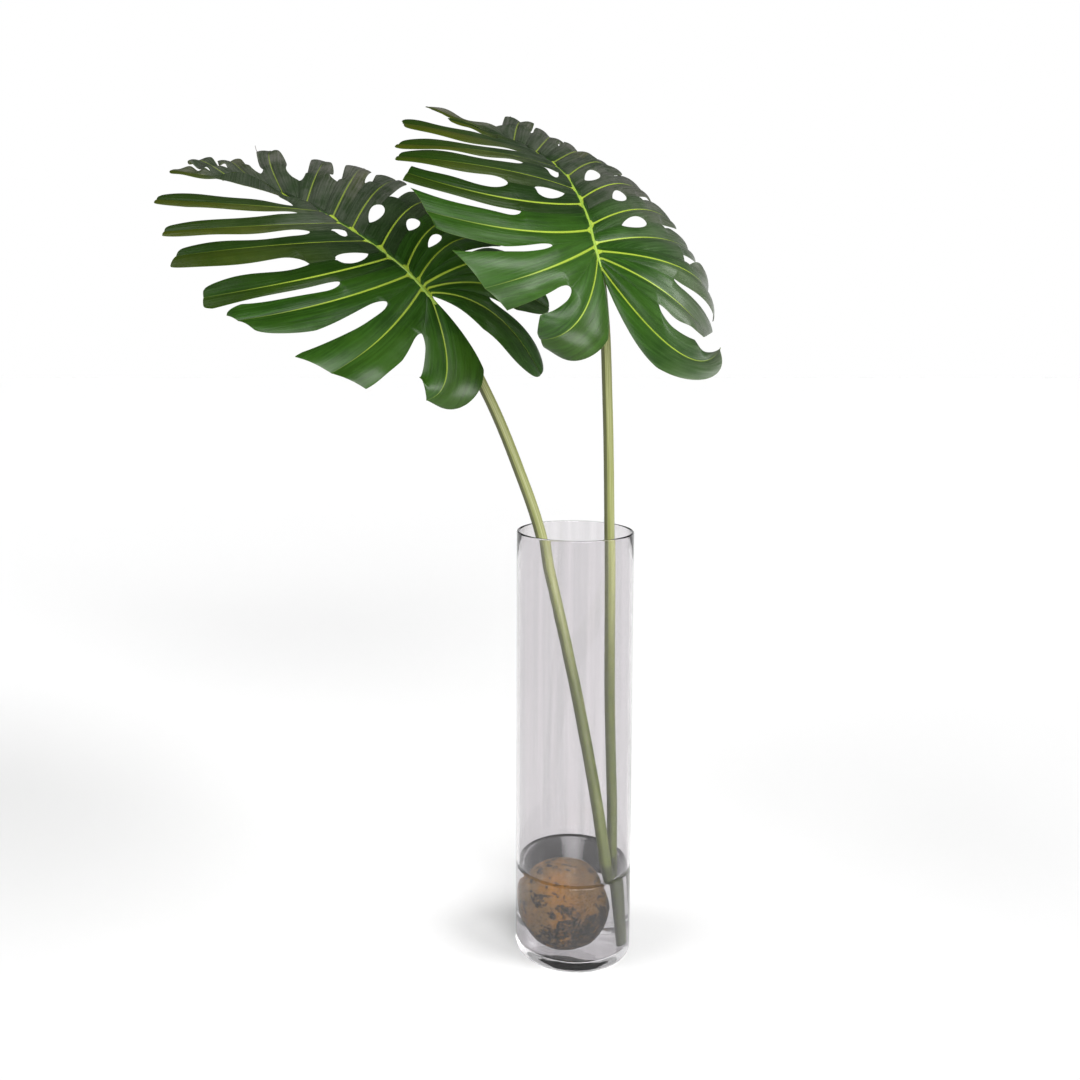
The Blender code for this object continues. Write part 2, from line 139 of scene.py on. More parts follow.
class Finish(Tree):
    """A node material with one Principled shader."""

    def __init__(self, name, **settings):
        self.material = bpy.data.materials.new(name)
        self.material.use_nodes = True
        super().__init__(self.material.node_tree)
        self.shader = self.nodes["Principled BSDF"]
        self.set(**settings)

    def set(self, **inputs):
        for name, value in inputs.items():
            self.join(self.shader.inputs[name.replace("_", " ")], value)

    def mark(self, name, out="Fac"):
        """Reads what the mesh stores at its points under that name."""
        return self.add("ShaderNodeAttribute", {"attribute_name": name}, out=out)

    def stretched(self, vector, scale):
        return self.add("ShaderNodeVectorMath", {"operation": "MULTIPLY"}, {0: vector, 1: scale})

    def clouds(self, vector, scale, detail=3.0, roughness=0.5, distortion=0.0):
        return self.add("ShaderNodeTexNoise", None, {
            "Vector": vector, "Scale": scale, "Detail": detail, "Roughness": roughness,
            "Distortion": distortion,
        })

    def blend(self, share, one, two):
        """A colour that goes from one to two."""
        node = self.nodes.new("ShaderNodeMix")
        node.data_type = "RGBA"
        for name, value in (("Factor_Float", share), ("A_Color", one), ("B_Color", two)):
            socket = next(s for s in node.inputs if s.identifier == name)
            self.join(socket, value)
        return Value(self, next(s for s in node.outputs if s.identifier == "Result_Color"))

    def bump(self, height, distance, strength):
        self.set(Normal=self.add("ShaderNodeBump", None, {
            "Height": height, "Distance": distance, "Strength": strength,
        }))


def show(name, mesh, finish, node):
    """Puts a piece in the scene, in place of a CAD node if it names one."""
    piece = bpy.data.objects.new(name, mesh)
    bpy.context.scene.collection.objects.link(piece)
    mesh.materials.append(finish.material)
    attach(piece, "root")
    if node:
        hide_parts(node)
    return piece


def mesh_of(name, points, faces):
    mesh = bpy.data.meshes.new(name)
    mesh.from_pydata([tuple(point) for point in points], [], [tuple(map(int, f)) for f in faces])
    shape = bmesh.new()
    shape.from_mesh(mesh)
    bmesh.ops.recalc_face_normals(shape, faces=shape.faces)
    shape.to_mesh(mesh)
    shape.free()
    mesh.shade_smooth()
    return mesh


def arc(centre, radius, start, end, steps):
    """Points of a profile's rounded corner, in (radius, height), from start to end degrees."""
    angles = np.radians(np.linspace(start, end, steps + 1))
    return [(centre[0] + radius * math.cos(a), centre[1] + radius * math.sin(a)) for a in angles]


def turned(name, profile):
    """A closed solid of revolution from a profile that starts and ends on the axis."""
    points = [(0.0, 0.0, profile[0][1])]
    turns = 2 * math.pi * np.arange(VASE_SIDES) / VASE_SIDES
    for radius, height in profile[1:-1]:
        points += [(radius * math.cos(turn), radius * math.sin(turn), height) for turn in turns]
    points.append((0.0, 0.0, profile[-1][1]))
    faces = []
    last = 1 + (len(profile) - 3) * VASE_SIDES
    for step in range(VASE_SIDES):
        after = (step + 1) % VASE_SIDES
        faces.append((0, 1 + after, 1 + step))
        faces.append((last + step, last + after, len(points) - 1))
        for low in range(1, last, VASE_SIDES):
            high = low + VASE_SIDES
            faces.append((low + step, low + after, high + after, high + step))
    return mesh_of(name, points, faces)


inner = VASE_RADIUS - VASE_WALL
lip = VASE_WALL / 2
wall_heights = np.linspace(WALL_MARGIN, VASE_HEIGHT - WALL_MARGIN, WALL_STEPS)
profile = [(0.0, DISH_DEPTH)]
profile += [(DISH_RADIUS * s, DISH_DEPTH * (1 - s * s)) for s in np.linspace(0.2, 1.0, 9)]
profile += arc((VASE_RADIUS - VASE_HEEL, VASE_HEEL), VASE_HEEL, -90, 0, HEEL_STEPS)
profile += [(VASE_RADIUS, z) for z in wall_heights]
profile += arc((VASE_RADIUS - lip, VASE_HEIGHT - lip), lip, 0, 180, 12)
profile += [(inner, z) for z in wall_heights[::-1]]
profile += arc((inner - VASE_HEEL, VASE_BASE + VASE_HEEL), VASE_HEEL, 0, -90, HEEL_STEPS)
profile += [(inner - VASE_HEEL - s, VASE_BASE) for s in (0.01, 0.025, 0.04)]
profile += [(0.0, VASE_BASE)]

glass = Finish("clear_glass", Roughness=0.0, IOR=GLASS_IOR, Transmission_Weight=1.0)
drawn = glass.clouds(glass.stretched(glass.place(), DRAWN_LINES), 1.0, detail=2.0)
# Painted reflection: faint upright grey bands in the glass's colour stand in for the studio's
# reflections and the refraction in its walls.
painted_reflection_bands = glass.clouds(glass.stretched(glass.place(), REFLECTION_BAND_SCALE), 1.0, roughness=0.6)
glass.set(Base_Color=glass.blend(painted_reflection_bands.rise(0.35, 0.65), GLASS_GREY, GLASS_CLEAR))
glass.bump(drawn, 0.0003, 0.3)
vessel = show("vase", turned("vase", profile), glass, "glass_vase")
vessel.visible_shadow = False

# The stone is a river cobble, tumbled round, that lies on the glass floor and leans back a little.
# It is ochre sandstone, grey-brown to the right and blotched nearly black, mostly low on the left.
# It lies under water, so it has hardly any shine of its own.
SEAT_GAP = 0.0003
STONE_HALF = (0.0425, 0.038, 0.041)
STONE_CENTRE = (-0.011, -0.012, VASE_BASE + SEAT_GAP + STONE_HALF[2])
STONE_LEAN = 0.15
STONE_DIVISIONS = 6
STONE_TRIM = 0.985
STONE_FLATNESS = 0.94
DENT_SHARE = 0.035
DENT_SCALE = 1.3
DENT_SHIFT = Vector((3.1, 0.4, 1.7))
PIT_SHARE = 0.004
PIT_SCALE = 9.0
SAND_OCHRE = (0.290, 0.125, 0.010)
SAND_TAN = (0.200, 0.115, 0.034)
SAND_GREY = (0.110, 0.065, 0.022)
SAND_GRAIN = (0.045, 0.018, 0.003)
STONE_BLACK = (0.003, 0.002, 0.002)

shape = bmesh.new()
bmesh.ops.create_icosphere(shape, subdivisions=STONE_DIVISIONS, radius=1.0)
for vert in shape.verts:
    way = vert.co.normalized()
    size = 1 - DENT_SHARE * (0.5 + noise.fractal(way * DENT_SCALE + DENT_SHIFT, 0.9, 2.1, 5))
    size -= PIT_SHARE * abs(noise.noise(way * PIT_SCALE))
    size = min(size, 1.0)
    for axis in range(3):
        flat = abs(way[axis]) ** STONE_FLATNESS * (1 if way[axis] > 0 else -1)
        vert.co[axis] = STONE_CENTRE[axis] + STONE_HALF[axis] * STONE_TRIM * size * flat
    vert.co.y += STONE_LEAN * (vert.co.z - STONE_CENTRE[2])
mesh = bpy.data.meshes.new("stone")
shape.to_mesh(mesh)
shape.free()
mesh.shade_smooth()

cobble = Finish("wet_sandstone", Roughness=0.5, Specular_IOR_Level=0.08)
place = cobble.place()
drift = cobble.clouds(place, 38.0, detail=4.0, roughness=0.6)
grain = cobble.clouds(place, 420.0, detail=4.0, roughness=0.7)
blots = cobble.clouds(place, 75.0, detail=5.0, roughness=0.70, distortion=0.4)
side, front, height = (cobble.axis(place, number) for number in range(3))
low = (height - 0.35 * side + (drift - 0.5) * 0.055).rise(0.066, 0.036)
sand = cobble.blend(drift.rise(0.38, 0.60), SAND_OCHRE, SAND_TAN)
sand = cobble.blend((side - 0.4 * front).rise(-0.005, 0.025) * 0.7, sand, SAND_GREY)
sand = cobble.blend(grain.rise(0.50, 0.58) * 0.55, sand, SAND_GRAIN)
dark = (blots + low * 0.16).rise(0.545, 0.565)
specks = cobble.clouds(place, 230.0, roughness=0.65).rise(0.53, 0.57)
cobble.set(Base_Color=cobble.blend(dark * (0.97 - 0.45 * specks), sand, STONE_BLACK))
cobble.bump(grain + blots * 0.6, 0.0006, 0.5)
show("stone", mesh, cobble, "stone")

# The water wets the glass, so its skin lies just inside the glass's own, and it creeps up the
# wall a little. It stands about a fifth of the way up.
WATER_LEVEL = 0.094
WATER_BITE = 0.0002
MENISCUS_RISE = 0.0016
MENISCUS_REACH = 0.0035
MENISCUS_CURVE = 2.2
WATER_CLEAR = (0.985, 0.992, 0.990)
WATER_IOR = 1.333

radius = inner + WATER_BITE
bottom = VASE_BASE - WATER_BITE
profile = [(0.0, bottom), (0.03, bottom)]
profile += arc((inner - VASE_HEEL, VASE_BASE + VASE_HEEL), VASE_HEEL + WATER_BITE, -90, 0, 12)
profile += [(radius, z) for z in np.linspace(0.03, 0.09, 6)]
for share in np.linspace(0.0, 1.0, 10):
    climb = MENISCUS_RISE * (1 - share) ** MENISCUS_CURVE
    profile.append((radius - MENISCUS_REACH * share, WATER_LEVEL + climb))
profile += [(r, WATER_LEVEL) for r in (0.05, 0.03, 0.012, 0.0)]

liquid = Finish("still_water", Base_Color=WATER_CLEAR, Roughness=0.0, IOR=WATER_IOR,
                Transmission_Weight=1.0)
liquid.bump(liquid.clouds(liquid.place(), 30.0, detail=1.0), 0.0003, 0.1)
show("water", turned("water", profile), liquid, "water")

# The petioles are the leaves' own stalks, cut off square and stood in the water. They are round,
# firm and olive green, with fine pale and dark lines along them, a shallow channel on the upper
# side and a slightly swollen, fresher green knee where the blade begins.
Petiole = namedtuple("Petiole", "leaf path foot top end")
STEM_FOOT = VASE_BASE + SEAT_GAP
PETIOLES = (
    Petiole("leaf_left", (
        (0.044, -0.016, STEM_FOOT), (0.030, -0.006, 0.129), (0.007, 0.010, 0.261),
        (-0.025, 0.030, 0.406), (-0.0375, 0.0355, 0.458), (-0.060, 0.045, 0.522),
        (-0.092, 0.059, 0.598), (-0.126, 0.072, 0.659), (-0.1555, 0.0835, 0.6928),
        (-0.187, 0.108, 0.7308),
    ), foot=0.0068, top=0.0060, end=0.0020),
    Petiole("leaf_right", (
        (0.046, 0.018, STEM_FOOT), (0.044, 0.008, 0.130), (0.037, -0.014, 0.278),
        (0.032, -0.0405, 0.457), (0.027, -0.054, 0.603), (0.022, -0.059, 0.690),
        (0.018, -0.053, 0.729), (0.013, -0.039, 0.753), (0.0095, -0.015, 0.7815),
    ), foot=0.0061, top=0.0050, end=0.0018),
)
PETIOLE_SIDES = 40
PETIOLE_RINGS = 150
PETIOLE_TRIM = 0.985
KNEE = 0.955
CHANNEL_TURN = 1.25 * math.pi
CHANNEL_WIDTH = 0.35
CHANNEL_DEPTH = 0.07
RIBS = 9
RIB_DEPTH = 0.012
FRESH_START = 0.86
FRESH_REACH = 0.1
STALK_OLIVE = (0.165, 0.183, 0.048)
STALK_PALE = (0.290, 0.298, 0.135)
STALK_VASE_SHADE = (0.033, 0.046, 0.002)
STALK_FLECK = (0.066, 0.075, 0.018)
STALK_SCAR = (0.240, 0.228, 0.115)
STALK_SHADE = (0.034, 0.038, 0.013)
STALK_FRESH = (0.125, 0.210, 0.034)


def unit(vectors):
    return vectors / np.maximum(np.linalg.norm(vectors, axis=-1, keepdims=True), 1e-9)


def ease(x):
    x = np.clip(x, 0.0, 1.0)
    return x * x * (3 - 2 * x)


def through(points, shares):
    """A smooth curve through the points, read at shares of its length."""
    points = np.array(points)
    travelled = np.concatenate([[0.0], np.cumsum(np.linalg.norm(np.diff(points, axis=0), axis=1))])
    travelled /= travelled[-1]
    slopes = np.gradient(points, travelled, axis=0)
    shares = np.clip(np.atleast_1d(shares), 0.0, 1.0)
    span = np.clip(np.searchsorted(travelled, shares, side="right") - 1, 0, len(points) - 2)
    length = (travelled[span + 1] - travelled[span])[:, None]
    u = (shares[:, None] - travelled[span][:, None]) / length
    return (
        (2 * u**3 - 3 * u**2 + 1) * points[span]
        + (u**3 - 2 * u**2 + u) * length * slopes[span]
        + (3 * u**2 - 2 * u**3) * points[span + 1]
        + (u**3 - u**2) * length * slopes[span + 1]
    )


def keep(mesh, name, values):
    """Stores a number, or a row of three, at every point of a mesh for its material to read."""
    values = np.asarray(values, dtype=np.float32)
    kind, field = ("FLOAT_VECTOR", "vector") if values.ndim == 2 else ("FLOAT", "value")
    mesh.attributes.new(name, kind, "POINT").data.foreach_set(field, values.ravel())


def swept(name, path, section, steps):
    """A closed round stem along a path. section gives its radius by ring and by turn."""
    along = unit(np.gradient(path, axis=0))
    side = np.array((1.0, 0.0, 0.0))
    turns = 2 * math.pi * np.arange(steps) / steps
    points = []
    grain = []
    travelled = np.concatenate([[0.0], np.cumsum(np.linalg.norm(np.diff(path, axis=0), axis=1))])
    for ring, (centre, direction) in enumerate(zip(path, along)):
        side = unit(side - side @ direction * direction)
        other = np.cross(direction, side)
        for turn, radius in zip(turns, section(ring)):
            points.append(centre + radius * (math.cos(turn) * side + math.sin(turn) * other))
            grain.append((math.cos(turn), math.sin(turn), travelled[ring]))
    faces = []
    for low in range(0, len(points) - steps, steps):
        for step in range(steps):
            after = (step + 1) % steps
            faces.append((low + step, low + after, low + steps + after, low + steps + step))
    faces.append(range(steps))
    faces.append(range(len(points) - 1, len(points) - 1 - steps, -1))
    mesh = mesh_of(name, points, faces)
    keep(mesh, "grain", grain)
    mesh.set_sharp_from_angle(angle=math.radians(50))
    return mesh


stalk = Finish("petiole_green", Specular_IOR_Level=0.35)
grain = stalk.mark("grain", "Vector")
lines = stalk.clouds(stalk.stretched(grain, (5.5, 5.5, 5.0)), 1.0, detail=4.0, roughness=0.7)
fine = stalk.clouds(stalk.stretched(grain, (22.0, 22.0, 12.0)), 1.0, detail=2.0, roughness=0.6)
patches = stalk.clouds(stalk.stretched(grain, (1.0, 1.0, 22.0)), 1.0, roughness=0.6)
fresh = stalk.mark("fresh")
height = stalk.axis(stalk.place(), 2)
shaded = stalk.axis(grain, 0) + 0.25 * (lines - 0.5)
skin = stalk.blend(lines.rise(0.38, 0.60), STALK_OLIVE, STALK_PALE)
# Painted shade: the stalks darken to a deep green from just above the vase's rim down, where less
# light reaches them.
skin = stalk.blend(height.rise(0.50, 0.26) * 0.90, skin, STALK_VASE_SHADE)
skin = stalk.blend(fine.rise(0.52, 0.72) * 0.40, skin, STALK_FLECK)
skin = stalk.blend(patches.rise(0.55, 0.75) * 0.25, skin, STALK_SCAR)
skin = stalk.blend(shaded.rise(-0.30, -0.62) * 0.75, skin, STALK_SHADE)
stalk.set(Base_Color=stalk.blend(fresh * 0.6, skin, STALK_FRESH))
stalk.set(Roughness=0.34 + 0.2 * fine)
stalk.bump(lines + fine * 0.5, 0.0004, 0.4)

shares = np.linspace(0.0, 1.0, PETIOLE_RINGS)
turns = 2 * math.pi * np.arange(PETIOLE_SIDES) / PETIOLE_SIDES
channel = 1 - CHANNEL_DEPTH * np.exp(-((turns - CHANNEL_TURN) / CHANNEL_WIDTH) ** 2)
ribbing = 1 - RIB_DEPTH * (1 + np.cos(RIBS * turns))
for petiole in PETIOLES:
    radii = petiole.foot + (petiole.top - petiole.foot) * shares
    radii += (petiole.end - radii) * np.clip((shares - KNEE) / (1 - KNEE), 0.0, 1.0)
    name = petiole.leaf + "_petiole"
    mesh = swept(name, through(petiole.path, shares),
                 lambda ring: PETIOLE_TRIM * radii[ring] * channel * ribbing, PETIOLE_SIDES)
    keep(mesh, "fresh", np.repeat(ease((shares - FRESH_START) / FRESH_REACH), PETIOLE_SIDES))
    show(name, mesh, stalk, name)

# The blades are leathery and dark, glossy green. Each lobe is a strip of blade along one lateral
# vein, joined to its neighbours near the midrib and cut free of them further out, with windows
# where the tissue died back. A round, paler midrib grows along the middle, and a hem all round.

# station: where the vein leaves the midrib, 0 at the petiole and 1 at the leaf's tip
# tip: where the lobe ends
# widths: from the vein to the edge on the petiole's side and to the one on the apex side
# slot: where the cut on the lobe's apex side ends, as a share of the vein
# arch and lead: how far the vein bows up and towards the leaf's tip, as shares of its length
# hole: the window beside the vein, on its apex side, as two shares of the vein
# blunt and slant: how wide the lobe's end stays, and how far its corners lean to the apex
# part: where the cut runs between this vein and the next. gap: the share of the web it takes
# point: how sharply the lobe narrows to its tip
Lobe = namedtuple("Lobe", "station tip widths slot arch lead hole blunt slant part gap point",
                  defaults=(0.0, 0.0, None, 0.15, 0.0, 0.5, 0.14, 1.0))
Leaf = namedtuple("Leaf", "name midrib near far end")

LEFT_LEAF = Leaf(
    name="leaf_left",
    midrib=(
        (-0.151, 0.080, 0.702), (-0.183, 0.105, 0.738), (-0.219, 0.135, 0.767),
        (-0.258, 0.170, 0.793), (-0.302, 0.210, 0.820), (-0.350, 0.250, 0.843),
        (-0.426, 0.290, 0.867), (-0.515, 0.330, 0.887),
    ),
    near=(
        Lobe(0.026, (-0.160, 0.025, 0.598), (0.040, 0.027), 0.33, 0.05, -0.30,
             blunt=0.00, gap=0.18, point=2.5),
        Lobe(0.058, (-0.261, 0.015, 0.627), (0.036, 0.038), 0.27, 0.00, -0.07,
             blunt=0.95, slant=0.60, gap=0.28),
        Lobe(0.105, (-0.363, 0.030, 0.683), (0.032, 0.025), 0.39, 0.01, -0.05,
             blunt=0.40, slant=0.44, part=0.59, gap=0.29),
        Lobe(0.181, (-0.410, 0.070, 0.709), (0.026, 0.023), 0.46, 0.08, -0.13,
             hole=(0.11, 0.31), blunt=0.47, slant=0.07, part=0.34, gap=0.12),
        Lobe(0.270, (-0.452, 0.115, 0.758), (0.028, 0.017), 0.29, 0.06, -0.08,
             hole=(0.06, 0.15), blunt=0.58, slant=-0.13, part=0.56),
        Lobe(0.385, (-0.481, 0.170, 0.791), (0.014, 0.016), 0.32, 0.08, -0.16,
             blunt=0.55, slant=0.06, part=0.72, gap=0.10),
        Lobe(0.466, (-0.507, 0.230, 0.836), (0.017, 0.020), 0.20, 0.12, -0.36,
             blunt=0.42, slant=0.13, part=0.30),
    ),
    far=(
        Lobe(0.038, (-0.032, 0.110, 0.622), (0.034, 0.021), 0.50, 0.15, 0.07),
        Lobe(0.050, (-0.020, 0.160, 0.700), (0.030, 0.030), 0.45, 0.08, 0.07),
        Lobe(0.062, (-0.050, 0.205, 0.750), (0.029, 0.029), 0.45, 0.14, 0.01),
        Lobe(0.078, (-0.080, 0.240, 0.785), (0.028, 0.028), 0.60, 0.07, 0.11, hole=(0.27, 0.45)),
        Lobe(0.123, (-0.110, 0.270, 0.812), (0.028, 0.028), 0.60, 0.07, 0.11, hole=(0.29, 0.45)),
        Lobe(0.222, (-0.160, 0.300, 0.843), (0.028, 0.028), 0.55, 0.07, 0.05,
             hole=(0.15, 0.39), part=0.62, gap=0.22),
        Lobe(0.337, (-0.215, 0.330, 0.873), (0.027, 0.031), 0.57, 0.07, 0.02,
             slant=-0.37, gap=0.19),
        Lobe(0.417, (-0.262, 0.350, 0.892), (0.026, 0.026), 0.42, 0.10, -0.03,
             part=0.34, gap=0.10, point=3.0),
        Lobe(0.526, (-0.315, 0.370, 0.904), (0.022, 0.025), 0.28, 0.07, -0.01,
             blunt=0.10, part=0.34, gap=0.40, point=3.0),
        Lobe(0.616, (-0.390, 0.3805, 0.9195), (0.024, 0.023), 0.26, 0.07, 0.09,
             slant=-0.40, part=0.46, gap=0.38, point=5.0),
        Lobe(0.704, (-0.450, 0.390, 0.905), (0.017, 0.017), 0.34, 0.07, 0.11),
        Lobe(0.780, (-0.495, 0.385, 0.905), (0.014, 0.014), 0.34, 0.07, 0.14),
    ),
    end=Lobe(0.82, (-0.515, 0.330, 0.887), (0.018, 0.018), 0.0),
)

RIGHT_LEAF = Leaf(
    name="leaf_right",
    midrib=(
        (0.018, -0.060, 0.735), (0.013, -0.045, 0.758), (0.009, -0.020, 0.786),
        (0.003, 0.010, 0.809), (-0.008, 0.045, 0.837), (-0.024, 0.085, 0.860),
        (-0.047, 0.130, 0.881), (-0.073, 0.165, 0.899), (-0.115, 0.200, 0.923),
        (-0.168, 0.230, 0.9492),
    ),
    near=(
        Lobe(0.036, (-0.044, -0.120, 0.664), (0.034, 0.031), 0.44, 0.12, -0.28,
             blunt=0.30, gap=0.27, point=2.0),
        Lobe(0.061, (-0.097, -0.148, 0.711), (0.034, 0.045), 0.36, 0.07, -0.07,
             blunt=0.91, slant=0.44, part=0.56, gap=0.16),
        Lobe(0.114, (-0.151, -0.135, 0.782), (0.021, 0.035), 0.45, 0.05, -0.12,
             blunt=0.62, slant=0.55, part=0.62, gap=0.24),
        Lobe(0.223, (-0.170, -0.110, 0.820), (0.028, 0.029), 0.48, 0.03, -0.14,
             hole=(0.11, 0.32), blunt=0.51, slant=-0.05, part=0.54, gap=0.36),
        Lobe(0.292, (-0.181, -0.075, 0.841), (0.025, 0.023), 0.33, 0.08, -0.09,
             hole=(0.06, 0.19), blunt=0.39, slant=-0.10, part=0.67),
        Lobe(0.415, (-0.184, -0.030, 0.860), (0.023, 0.022), 0.26, 0.07, -0.13,
             blunt=0.35, slant=-0.13),
        Lobe(0.519, (-0.184, 0.030, 0.892), (0.030, 0.026), 0.37, 0.03, -0.09,
             blunt=0.31, slant=0.06, part=0.44),
        Lobe(0.637, (-0.137, 0.100, 0.909), (0.017, 0.017), 0.32, 0.01, -0.03, blunt=0.30),
    ),
    far=(
        Lobe(0.012, (0.127, -0.115, 0.656), (0.030, 0.030), 0.41, 0.07, -0.40,
             blunt=0.00, part=0.64, gap=0.10, point=3.0),
        Lobe(0.030, (0.124, -0.060, 0.667), (0.027, 0.055), 0.52, 0.16, -0.08,
             blunt=0.80, slant=0.55, part=0.55, gap=0.10),
        Lobe(0.047, (0.137, 0.000, 0.709), (0.030, 0.038), 0.68, 0.24, -0.11,
             blunt=0.80, slant=-0.44, part=0.36, gap=0.10),
        Lobe(0.068, (0.127, 0.060, 0.761), (0.028, 0.028), 0.67, 0.10, 0.00,
             hole=(0.25, 0.50), blunt=0.50),
        Lobe(0.128, (0.118, 0.115, 0.795), (0.027, 0.027), 0.60, 0.07, 0.07, hole=(0.29, 0.45)),
        Lobe(0.242, (0.095, 0.165, 0.831), (0.027, 0.027), 0.50, 0.07, 0.07, hole=(0.15, 0.37)),
        Lobe(0.352, (0.060, 0.205, 0.866), (0.026, 0.026), 0.40, 0.07, 0.05),
        Lobe(0.450, (0.020, 0.245, 0.893), (0.024, 0.024), 0.38, 0.07, -0.06),
        Lobe(0.552, (-0.015, 0.270, 0.916), (0.022, 0.022), 0.36, 0.07, -0.05),
        Lobe(0.662, (-0.048, 0.285, 0.938), (0.020, 0.020), 0.34, 0.07, 0.03),
    ),
    end=Lobe(0.73, (-0.168, 0.230, 0.950), (0.018, 0.018), 0.0),
)

# Rows of points run across each lobe, closer together towards its tip.
FIRST_ROW = 0.035
ROWS = FIRST_ROW + (1 - FIRST_ROW) * (1 - (1 - np.linspace(0.0, 1.0, 76)) ** 1.2)
ROW_PULL = 0.05
ROW_CROWDING = 0.25

# Columns of points run along it: some at a few distances in metres from the vein or from the hem,
# but at most at a share of the way across, and some at fixed shares of the way.
VEIN_COLUMNS = ((0.0007, 0.06), (0.0014, 0.12), (0.0026, 0.20))
WEB_COLUMNS = (0.32, 0.46, 0.60, 0.74)
HEM_COLUMNS = ((0.0024, 0.14), (0.0009, 0.07))

# The blade bulges between its veins and puckers up where two lobes join. A lobe's edges close in
# on its tip from LONG_EDGE and SHORT_EDGE on, and the far lobes' crests are the most wavy.
BULGE = 0.11
PUCKER = 0.05
SLOT_ROUND = 0.10
HOLE_WIDTH = {"near": (0.22, 0.62), "far": (0.50, 0.34)}
LONG_EDGE = 0.55
SHORT_EDGE = 0.84
LEAN_START = 0.60
SINUS = 0.50
WAVE = 0.0014
CRINKLE = 0.0032
WAVE_COUNT = 2.1

BLADE_THICKNESS = 0.0007
HEM_THICKNESS = 0.0004
HEM_BAND = 0.002
RIM_SAMPLES = 6
VEIN_CREST = 0.0003
VEIN_KEEL = 0.0010
MIDRIB_KEEL = 0.0008

VEIN_WIDTH = 0.0015
VEIN_END = 0.00025
FULL_LENGTH = 0.16
FAINT_FROM = 0.24
FAINT_WIDTH = 0.45
PAINTED_OLIVE_FROM = 0.2
FARTHEST_VEIN = 30.0

# How far the painted sheen, a grey colour for glancing reflections, spreads out along a far lobe, and
# the station where it starts.
PAINTED_SHEEN_SPREAD = {"leaf_left": (0.0, 0.12), "leaf_right": (0.30, 0.07)}

MIDRIB_STATIONS = 60
MIDRIB_RINGS = 90
MIDRIB_SIDES = 16
MIDRIB_RADIUS = 0.0021
MIDRIB_END = 0.0004
MIDRIB_SINK = 0.35

LEAF_DEEP = (0.012, 0.043, 0.0032)
LEAF_GREEN = (0.022, 0.068, 0.0048)
LEAF_STREAK = (0.030, 0.092, 0.010)
LEAF_CREASE_SHADE = (0.006, 0.024, 0.002)
LEAF_MOTTLE = (0.034, 0.095, 0.008)
LEAF_PAINTED_SHADE = (0.0035, 0.013, 0.0010)
LEAF_PAINTED_OLIVE_LIGHT = (0.044, 0.056, 0.003)
LEAF_PAINTED_SHEEN = (0.125, 0.117, 0.114)
LEAF_VEIN = (0.300, 0.400, 0.040)
LEAF_HEM = (0.090, 0.150, 0.030)
BACK_GREEN = (0.040, 0.058, 0.004)
BACK_PALE = (0.070, 0.092, 0.009)
BACK_VEIN = (0.220, 0.290, 0.060)
MIDRIB_GREEN = (0.190, 0.310, 0.030)
MIDRIB_PALE = (0.290, 0.420, 0.065)
MIDRIB_PAINTED_SHEEN = (0.060, 0.070, 0.030)


def rounding(x):
    """Rises from 0 to 1 along a quarter of an ellipse."""
    x = np.clip(x, 0.0, 1.0)
    return np.sqrt(1 - (1 - x)**2)


def rows_for(cut):
    """The rows, moved so that one lies on each end of a cut's slot and hole and others crowd it."""
    rows = ROWS.copy()
    for stop in (cut.hole or ()) + (cut.slot,):
        shift = stop - rows[np.argmin(abs(rows - stop))]
        rows += shift * (1 - ease(abs(rows - stop) / ROW_PULL))
        off = rows - stop
        rows = stop + off * (ROW_CROWDING + (1 - ROW_CROWDING) * ease(abs(off) / ROW_PULL))
    return rows


def opened_at(cut, rows):
    """Which rows lie beside a cut's slot or hole."""
    free = rows > cut.slot + 1e-6
    if cut.hole:
        free |= (rows > cut.hole[0] + 1e-6) & (rows < cut.hole[1] - 1e-6)
    return free


